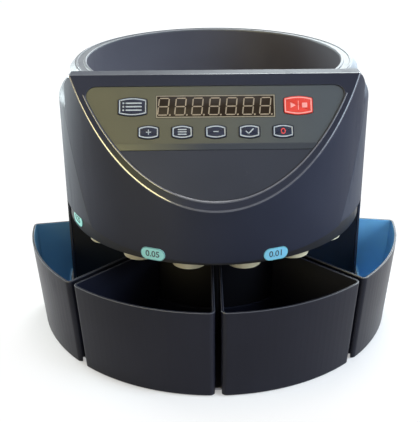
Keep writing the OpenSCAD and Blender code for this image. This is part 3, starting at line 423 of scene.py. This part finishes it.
softEdges = dict(  # CAD piece: new name, corner radius in mm, edge finish with its painted highlight
    rear_shell=("rearShellBody", 0.6, None),
    hopper=("hopperBowl", 0.5, casingEdgeHighlight), cup_left=("leftCup", 0.6, cupRimHighlight),
    cup_front_left=("frontLeftCup", 0.6, cupRimHighlight), cup_front_right=("frontRightCup", 0.6, cupRimHighlight),
    cup_right=("rightCup", 0.6, cupRimHighlight), control_overlay=("keyOverlay", 0.25, None),
    trim_strip=("stripBand", 0.4, None), lower_trim=("lowerPanel", 0.3, None),
    coin_spouts=("creamSpouts", 0.5, None), outlet_ring=("outletRing", 0.4, None),
    base_plate=("basePlate", 0.4, None), rubber_feet=("rubberFeet", 0.6, None),
    mains_inlet=("mainsInlet", 0.3, None), switch_frame=("switchFrame", 0.3, None),
    rocker_switch=("rockerCap", 0.4, None), fuse_holder=("fuseHolder", 0.4, None),
    front_column=("frontColumn", 0.5, None), coin_disc=("coinDisc", 0.4, None), disc_cap=("discCap", 0.4, None),
)
soft = {}

# widths of the roll along the panel's two round edges, and how far off a face or an edge still counts
rolled = dict(crease=1.2 * mm, recess=0.6 * mm, edge=0.5, level=0.15 * mm, near=0.8 * mm, behind=-4 * mm,
              flat=0.1 * mm)


def arcOnPanel(radius):
    def test(middle, way):
        fromAxis = hypot(middle.x, middle.y - axisY)
        return abs(overPanel(middle)) < rolled["level"] and abs(fromAxis - radius) < rolled["near"]
    return test


hood = soft["front_hood"] = softCopy("front_hood", "frontHoodShell", rolled["edge"], paintedEdgeHighlight=casingEdgeHighlight,
                                     creases=((arcOnPanel(head["radius"]), rolled["crease"]),
                                              (arcOnPanel(panel["recessRadius"]), rolled["recess"])))
# the hood's seam and lower rim keep the hood's own colour
choose(hood, "FACE", lambda centre, normal: overPanel(centre) < rolled["behind"])
paint(hood, 0)
# the flat frame round the recess turns olive at its lower left, a painted warm reflection
hood.data.materials.append(framePaintedReflection)
choose(hood, "FACE", lambda centre, normal: abs(overPanel(centre)) < rolled["flat"])
paint(hood, 2)
clearPicks()
print("hood's crease rolled")
for node, (name, edge, paintedEdgeHighlight) in softEdges.items():
    soft[node] = softCopy(node, name, edge, paintedEdgeHighlight=paintedEdgeHighlight)
    print("eased", node, len(soft[node].data.polygons))


# Cups: painted light inside the side cups, painted shade inside the front cups

cupInsides = dict(cup_left=paintedLitInside, cup_front_left=paintedShadeInside, cup_front_right=paintedShadeInside,
                  cup_right=paintedLitInside)
insideFaces = dict(rim=2 * mm, wallFrom=7 * mm, floorUnder=40 * mm, wallTilt=0.5, floorTilt=0.3)


def paintCupInside(piece, inside):
    # the faces that look at the middle of the cup's room, walls and floor, take the painted light or painted
    # shade
    low, high = Vector(piece.bound_box[0]), Vector(piece.bound_box[6])
    corners = [vertex.co for vertex in piece.data.vertices if vertex.co.z > high.z - insideFaces["rim"]]
    middle = sum(corners, Vector()) / len(corners)

    def isInside(centre, normal):
        across = Vector((middle.x - centre.x, middle.y - centre.y, 0))
        isWall = abs(normal.z) < insideFaces["wallTilt"] and across.dot(normal) > 0
        isFloor = normal.z > insideFaces["floorTilt"] and centre.z < high.z - insideFaces["floorUnder"]
        return isFloor or (isWall and centre.z > low.z + insideFaces["wallFrom"])

    piece.data.materials.append(inside)
    choose(piece, "FACE", isInside)
    paint(piece, len(piece.data.materials) - 1)
    clearPicks()


for node, inside in cupInsides.items():
    paintCupInside(soft[node], inside)
print("cups painted inside")


# The hopper is paler inside, with a rim of its own colour, and the strip carries a painted warm reflection at
# its left

rim = dict(depth=6 * mm, tilt=0.2, flat=0.2 * mm)
bowl = soft["hopper"].data
bowl.materials[0] = hopperPlastic
bowl.materials.append(rimPlastic)
rimTop = max(vertex.co.z for vertex in bowl.vertices)
choose(soft["hopper"], "FACE",
       lambda centre, normal: normal.z > rim["tilt"] and centre.z > rimTop - rim["depth"])
paint(soft["hopper"], 2)
clearPicks()
soft["trim_strip"].data.materials[0] = stripPaintedReflection
print("rim and strip coloured")


# Low rings: two beads around the hopper's rim that end at the brow, and a lip along the recess's round edge

rimBeads = dict(radius=114.5 * mm, segments=160, beads=[dict(out=1.6 * mm, width=3.0 * mm, rise=0.9 * mm),
                                                        dict(out=8.6 * mm, width=1.8 * mm, rise=0.6 * mm)])
lip = dict(segments=240, top=99 * mm, ring=dict(out=0.9 * mm, width=1.1 * mm, rise=0.5 * mm))
rings = dict(steps=12, angle=50)


def addRing(name, radius, segments, ring, place, cut, body, material, stretch=1):
    # flattened, stretched along y and placed; cut gives the plane's y, and 1 or -1 for the side that goes
    clearPicks()
    bpy.ops.mesh.primitive_torus_add(major_radius=radius + ring["out"], minor_radius=ring["width"] / 2,
                                     major_segments=segments, minor_segments=rings["steps"])
    piece = settle(bpy.context.object, Matrix.Diagonal((1, stretch, 2 * ring["rise"] / ring["width"], 1)))
    editWhole(piece)
    bpy.ops.mesh.bisect(plane_co=(0, cut[0], 0), plane_no=(0, cut[1], 0), use_fill=True, clear_outer=True)
    clearPicks()
    piece.data.transform(place)
    smooth(piece, rings["angle"])
    piece.name = name
    finishPiece(piece, body, material)


browY = min(vertex.co.y for vertex in bowl.vertices if vertex.co.z > rimTop - rim["flat"]) - axisY
for index, bead in enumerate(rimBeads["beads"], 1):
    addRing("rimBead%d" % index, rimBeads["radius"], rimBeads["segments"], bead,
            Matrix.Translation((0, axisY, rimTop)), (browY, -1), bodyOf["hopper"], rimPlastic)
print("rim beads made")

# the recess's round wall stands upright, so its edge is a circle stretched up the slope
upSlope = 1 / cos(panel["slope"])
axisUp = head["radius"] * upSlope
addRing("recessLip", panel["recessRadius"], lip["segments"], lip["ring"], onPanel(0, axisUp, 0),
        (lip["top"] - axisUp, 1), "housing", casingEdgeHighlight, upSlope)
print("recess lip made")


# Window frame, keys and labels get their printed borders

printed = dict(keyEdge=0.2, keyMargin=0.45 * mm, keyBorder=1.0 * mm, windowEdge=0.2, frameWidth=0.9 * mm,
               labelRim=0.55 * mm, facing=0.99, labelFacing=0.9)
paleInk = printedInk("paleInk", (166, 170, 170), (152, 157, 159))
beigeInk = printedInk("beigeInk", (132, 122, 102), (120, 111, 94))
redInk = printedInk("redInk", (206, 44, 44), (190, 38, 40))
pinkInk = printedInk("pinkInk", (232, 150, 140), (224, 138, 130))
digitInk = printedInk("digitInk", (148, 131, 109), (138, 121, 100))
darkInk = printedInk("darkInk", (44, 66, 76), (38, 58, 68))
tealInk = printedInk("tealInk", (84, 150, 156), (76, 140, 148))


def borderTop(piece, test, margin, width):
    # two insets on the top faces leave a ring of the piece's second material between a margin and the middle
    choose(piece, "FACE", test)
    if margin:
        bpy.ops.mesh.inset(thickness=margin, depth=0)
    paint(piece, 1)
    bpy.ops.mesh.inset(thickness=width, depth=0)
    paint(piece, 0)
    clearPicks()


def isPanelFace(centre, normal):
    return normal.dot(panelOut) > printed["facing"]


def isLabelFace(centre, normal):
    out = Vector((centre.x, centre.y - axisY, 0)).normalized()
    return normal.dot(out) > printed["labelFacing"]


keys = dict(  # sign, ink of the sign, and middle on the panel in mm
    key_report=("list", paleInk, -68.3, 89), key_start=("playStop", pinkInk, 68.3, 89),
    key_plus=("plus", paleInk, -55.2, 67), key_batch=("stack", paleInk, -27.6, 67),
    key_minus=("minus", paleInk, 0, 67), key_set=("tick", paleInk, 27.6, 67),
    key_clear=("ring", redInk, 55.2, 67),
)
for node in keys:
    piece = soft[node] = softCopy(node, node.replace("key_", "") + "Key", printed["keyEdge"])
    piece.data.materials.append(pinkInk if node == "key_start" else paleInk)
    borderTop(piece, isPanelFace, printed["keyMargin"], printed["keyBorder"])

window = softCopy("display_window", "displayWindow", printed["windowEdge"])
window.data.materials.append(beigeInk)
borderTop(window, isPanelFace, 0, printed["frameWidth"])

labels = softCopy("value_labels", "labelPlates", 0)
labels.data.materials.append(tealInk)
borderTop(labels, isLabelFace, 0, printed["labelRim"])
print("borders printed")


# Signs on the keys, digits in the window and numbers on the labels

drawn = dict(tip=0.49, corner=0.12, upright=0.9)  # shares of a stroke's width and of a plate's radius


def topOf(piece):
    return max(overPanel(vertex.co) for vertex in piece.data.vertices)


def isUpright(middle, way):
    return abs(way.z) > drawn["upright"]


def bar(start, end, width, thick, tip=3):
    # a flat stroke between two points, its ends rounded (tip 3) or pointed (tip 1)
    start, end = Vector(start), Vector(end)
    along = end - start
    clearPicks()
    bpy.ops.mesh.primitive_cube_add(size=1, scale=(along.length + width, width, thick))
    piece = settle(bpy.context.object)
    choose(piece, "EDGE", isUpright)
    bpy.ops.mesh.bevel(offset=width * drawn["tip"], segments=tip, affect="EDGES")
    clearPicks()
    turn = Matrix.Rotation(atan2(along.y, along.x), 4, "Z")
    return settle(piece, Matrix.Translation((*(start + end) / 2, 0)) @ turn)


def polygonPlate(sides, radius, thick, turn=0.0, middle=(0, 0)):
    clearPicks()
    bpy.ops.mesh.primitive_cylinder_add(vertices=sides, radius=radius, depth=thick)
    piece = bpy.context.object
    choose(piece, "EDGE", isUpright)
    bpy.ops.mesh.bevel(offset=radius * drawn["corner"], segments=2, affect="EDGES")
    clearPicks()
    return settle(piece, Matrix.Translation((*middle, 0)) @ Matrix.Rotation(radians(turn), 4, "Z"))


def flatRing(radius, width, thick, stretch):
    clearPicks()
    bpy.ops.mesh.primitive_torus_add(major_radius=radius, minor_radius=width / 2, major_segments=32,
                                     minor_segments=8)
    return settle(bpy.context.object, Matrix.Diagonal((*stretch, thick / width, 1)))


sign = dict(thick=0.14 * mm, lift=0.3, ring=(1.9 * mm, 0.9 * mm), ringStretch=(0.85, 1.1))  # lift in thicks
strokes = dict(  # a sign's stroke width, and the two ends of each stroke, in mm
    list=(1.2, [(-5.2, y, 7, y) for y in (-3, 0, 3)]),
    playStop=(0.6, [(0, -3.6, 0, 3.6)]),
    plus=(0.75, [(-1.9, 0, 1.9, 0), (0, -1.9, 0, 1.9)]),
    minus=(0.75, [(-1.9, 0, 1.9, 0)]),
    stack=(0.95, [(-3.2, y, 3.2, y) for y in (-2, 0, 2)]),
    tick=(0.95, [(-2.8, 0, -0.8, -2), (-0.8, -2, 3, 2)]),
)
plates = dict(  # sides, radius in mm, turn in degrees and middle in mm of a sign's dots, triangle or square
    list=[(12, 0.8, 0, -7.6, y) for y in (-3, 0, 3)],
    playStop=[(3, 2.9, 30, -5, 0), (4, 3.0, 45, 5.2, 0)],
)


def drawSign(kind):
    thick = sign["thick"]
    width, ends = strokes.get(kind, (0, []))
    parts = [bar((a * mm, b * mm), (c * mm, d * mm), width * mm, thick) for a, b, c, d in ends]
    parts += [polygonPlate(sides, radius * mm, thick, turn, (x * mm, y * mm))
              for sides, radius, turn, x, y in plates.get(kind, [])]
    if kind == "ring":
        parts.append(flatRing(*sign["ring"], thick, sign["ringStretch"]))
    return joinPieces(kind + "Sign", parts)


for node, (kind, ink, u, v) in keys.items():
    piece = settle(drawSign(kind), onPanel(u * mm, v * mm, topOf(soft[node]) + sign["thick"] * sign["lift"]))
    finishPiece(piece, bodyOf[node], ink)
print("key signs made")


digit = dict(count=7, pitch=14.0 * mm, width=8.2 * mm, height=14.4 * mm, stroke=0.95 * mm, thick=0.1 * mm,
             slant=0.11, gap=0.35 * mm, dot=0.75 * mm, dotOut=1.9 * mm, middleU=-0.9 * mm, middleV=89 * mm)


def makeDigit():
    w, h, gap = digit["width"] / 2, digit["height"] / 2, digit["gap"] + digit["stroke"] / 2
    lines = [((-w + gap, y), (w - gap, y)) for y in (-h, 0, h)]
    lines += [((x, y + gap), (x, y + h - gap)) for x in (-w, w) for y in (-h, 0)]
    parts = [bar(start, end, digit["stroke"], digit["thick"], 1) for start, end in lines]
    parts.append(polygonPlate(10, digit["dot"], digit["thick"], middle=(w + digit["dotOut"], -h)))
    piece = joinPieces("digit", parts)
    slant = Matrix.Identity(4)
    slant[0][1] = digit["slant"]
    return settle(piece, slant)


first = makeDigit()
allDigits = [first]
for index in range(1, digit["count"]):
    pick(first)
    bpy.ops.object.duplicate()
    allDigits.append(settle(bpy.context.object, Matrix.Translation((index * digit["pitch"], 0, 0))))
digits = joinPieces("displayDigits", allDigits)
firstU = digit["middleU"] - (digit["count"] - 1) / 2 * digit["pitch"]
settle(digits, onPanel(firstU, digit["middleV"], topOf(window)))
finishPiece(digits, "housing", digitInk)
print("display digits made")


numbers = dict(size=7.6 * mm, thick=0.1 * mm, fatter=0.12 * mm, near=6, places=[
    # text, azimuth, and radius of the plate's face
    ("0.05", -22.2, 142.1 * mm), ("0.01", 20.3, 142.1 * mm), ("0.25", -63.6, 139.4 * mm)])


def makeNumber(text, azimuth, r):
    # raised plain digits, bent around the head's axis
    clearPicks()
    bpy.ops.object.text_add()
    words = bpy.context.object
    words.data.body, words.data.size, words.data.extrude = text, numbers["size"], numbers["thick"]
    words.data.align_x, words.data.align_y = "CENTER", "CENTER"
    words.data.offset = numbers["fatter"]
    pick(words)
    bpy.ops.object.convert(target="MESH")
    piece = bpy.context.object
    # the label's middle in height comes from the plate near this azimuth
    plate = [vertex.co.z for vertex in labels.data.vertices
             if abs(degrees(atan2(vertex.co.x, axisY - vertex.co.y)) - azimuth) < numbers["near"]]
    z = (max(plate) + min(plate)) / 2
    for vertex in piece.data.vertices:
        x, y, out = vertex.co
        angle = radians(azimuth) + x / r
        vertex.co = ((r + out) * sin(angle), axisY - (r + out) * cos(angle), z + y)
    piece.name = "number" + text.replace(".", "_")
    finishPiece(piece, "housing", darkInk)


for place in numbers["places"]:
    makeNumber(*place)
print("label numbers made")


# Camera

view = dict(distance=750 * mm, height=432.3 * mm, sideways=-4 * mm, pitch=24.13, roll=-0.35, turn=0.7,
            lens=70.99, sensor=36, clip=(0.05, 20))


def addCamera():
    camera = bpy.data.objects.new("photoCamera", bpy.data.cameras.new("photoCamera"))
    bpy.context.scene.collection.objects.link(camera)
    camera.data.lens, camera.data.sensor_width = view["lens"], view["sensor"]
    camera.data.clip_start, camera.data.clip_end = view["clip"]
    place = Matrix.Translation((0, axisY, 0)) @ Matrix.Rotation(radians(-view["turn"]), 4, "Z")
    place = place @ Matrix.Translation((view["sideways"], -view["distance"], view["height"]))
    place = place @ Matrix.Rotation(radians(90 - view["pitch"]), 4, "X")
    camera.matrix_world = place @ Matrix.Rotation(radians(view["roll"]), 4, "Z")
    bpy.context.scene.camera = camera


addCamera()


# Floor, world and lamps

ground = dict(size=12, shade=(0.86, 0.86, 0.86), roughness=0.9, near=0.15, far=0.22, white=(0.3, 0.85))
light = dict(world=0.24, aimZ=0.18, lamps=[  # angles from the front and from level, metres, radiance
    dict(name="topSoftbox", azimuth=165, elevation=70, distance=1.7, width=0.6, height=0.6, radiance=8.0),
    dict(name="frontSoftbox", azimuth=4, elevation=70, distance=1.8, width=1.1, height=0.7, radiance=2.8),
    dict(name="backRightSoftbox", azimuth=160, elevation=26, distance=2.2, width=1.5, height=1.4, radiance=7.0,
         colour=(0.9, 0.99, 1.0)),
    dict(name="backLeftSoftbox", azimuth=-158, elevation=26, distance=2.2, width=1.5, height=1.4, radiance=0.7,
         colour=(0.88, 0.98, 1.0)),
    dict(name="leftBackStrip", azimuth=-128, elevation=6, distance=1.5, width=0.7, height=0.8, radiance=22.0,
         colour=(0.86, 0.98, 1.0)),
    dict(name="rightFill", azimuth=62, elevation=24, distance=1.7, width=0.8, height=1.0, radiance=5.0,
         colour=(0.68, 0.84, 1.0)),
    dict(name="rightSoft", azimuth=68, elevation=24, distance=1.7, width=0.8, height=1.0, radiance=11.0,
         colour=(0.74, 0.86, 1.0), dullOnly=True),
    dict(name="warmSide", azimuth=-76, elevation=14, distance=1.5, width=0.5, height=0.6, radiance=4.5,
         colour=(1.0, 0.8, 0.42)),
    dict(name="rightBackShine", azimuth=150, elevation=5, distance=1.3, width=0.6, height=0.25, radiance=5.0,
         colour=(0.6, 0.8, 1.0), shineOnly=True),
    dict(name="warmShine", azimuth=-42, elevation=13, distance=1.5, width=1.2, height=0.6, radiance=18.0,
         colour=(1.0, 0.86, 0.42), shineOnly=True),
    dict(name="warmPanelGlow", azimuth=-20, elevation=42, distance=1.5, width=0.5, height=0.4, radiance=3.0,
         colour=(1.0, 0.9, 0.56), shineOnly=True),
])


def seenDirectly(tree):
    # 1 for the camera and for what shines or shows through, 0 for scattered light
    path = tree.nodes.new("ShaderNodeLightPath")
    camera, glossy, through = (Wire(tree, path.outputs[kind]) for kind in
                               ("Is Camera Ray", "Is Glossy Ray", "Is Transmission Ray"))
    return camera.maths("MAXIMUM", camera, camera.maths("MAXIMUM", glossy, through))


def addFloor():
    clearPicks()
    bpy.ops.mesh.primitive_plane_add(size=ground["size"], location=(0, 0, 0))
    floor = bpy.context.object
    floor.name = "paleFloor"
    made = Finish("paleFloor", colour=ground["shade"], roughness=ground["roughness"])
    floor.data.materials.append(made.material)
    # the camera and reflections see the floor mostly as plain white, less of it close by, where the shadow lies
    glow = made.place.node("ShaderNodeEmission", {}, {"Color": (1, 1, 1, 1), "Strength": 1.0})
    x, y = made.place.split("X"), made.place.split("Y") - axisY
    share = ((x * x + y * y) ** 0.5).between(ground["near"], ground["far"], *ground["white"])
    lit = Wire(made.tree, made.shader.outputs[0])
    mixed = made.place.node("ShaderNodeMixShader", {}, {0: seenDirectly(made.tree) * share, 1: lit, 2: glow})
    made.tree.links.new(mixed.socket, made.tree.nodes["Material Output"].inputs["Surface"])


def lightWorld():
    # white to the camera and in reflections, dimmer as a light
    world = bpy.data.worlds.new("studio")
    bpy.context.scene.world = world
    world.use_nodes = True
    tree = world.node_tree
    background = tree.nodes["Background"]
    strength = seenDirectly(tree).between(0, 1, light["world"], 1.0, smoothly=False)
    tree.links.new(strength.socket, background.inputs["Strength"])
    background.inputs["Color"].default_value = (1, 1, 1, 1)


def addLamp(name, azimuth, elevation, distance, width, height, radiance, colour=(1, 1, 1), shineOnly=False,
            dullOnly=False):
    # a soft panel aimed at the head; shineOnly is seen just in gloss, dullOnly just by dull surfaces
    lamp = bpy.data.lights.new(name, "AREA")
    lamp.shape, lamp.size, lamp.size_y = "RECTANGLE", width, height
    lamp.energy, lamp.color = radiance * pi * width * height, colour
    thing = bpy.data.objects.new(name, lamp)
    bpy.context.scene.collection.objects.link(thing)
    aim = Vector((0, axisY, light["aimZ"]))
    turn, rise = radians(azimuth), radians(elevation)
    way = Vector((sin(turn) * cos(rise), -cos(turn) * cos(rise), sin(rise)))
    thing.location = aim + way * distance
    thing.rotation_euler = (-way).to_track_quat("-Z", "Y").to_euler()
    thing.visible_camera = False
    thing.visible_diffuse, thing.visible_glossy = not shineOnly, not dullOnly


addFloor()
lightWorld()
bpy.context.scene.view_settings.view_transform = "Standard"
for lamp in light["lamps"]:
    addLamp(**lamp)
print("camera and lamps set")
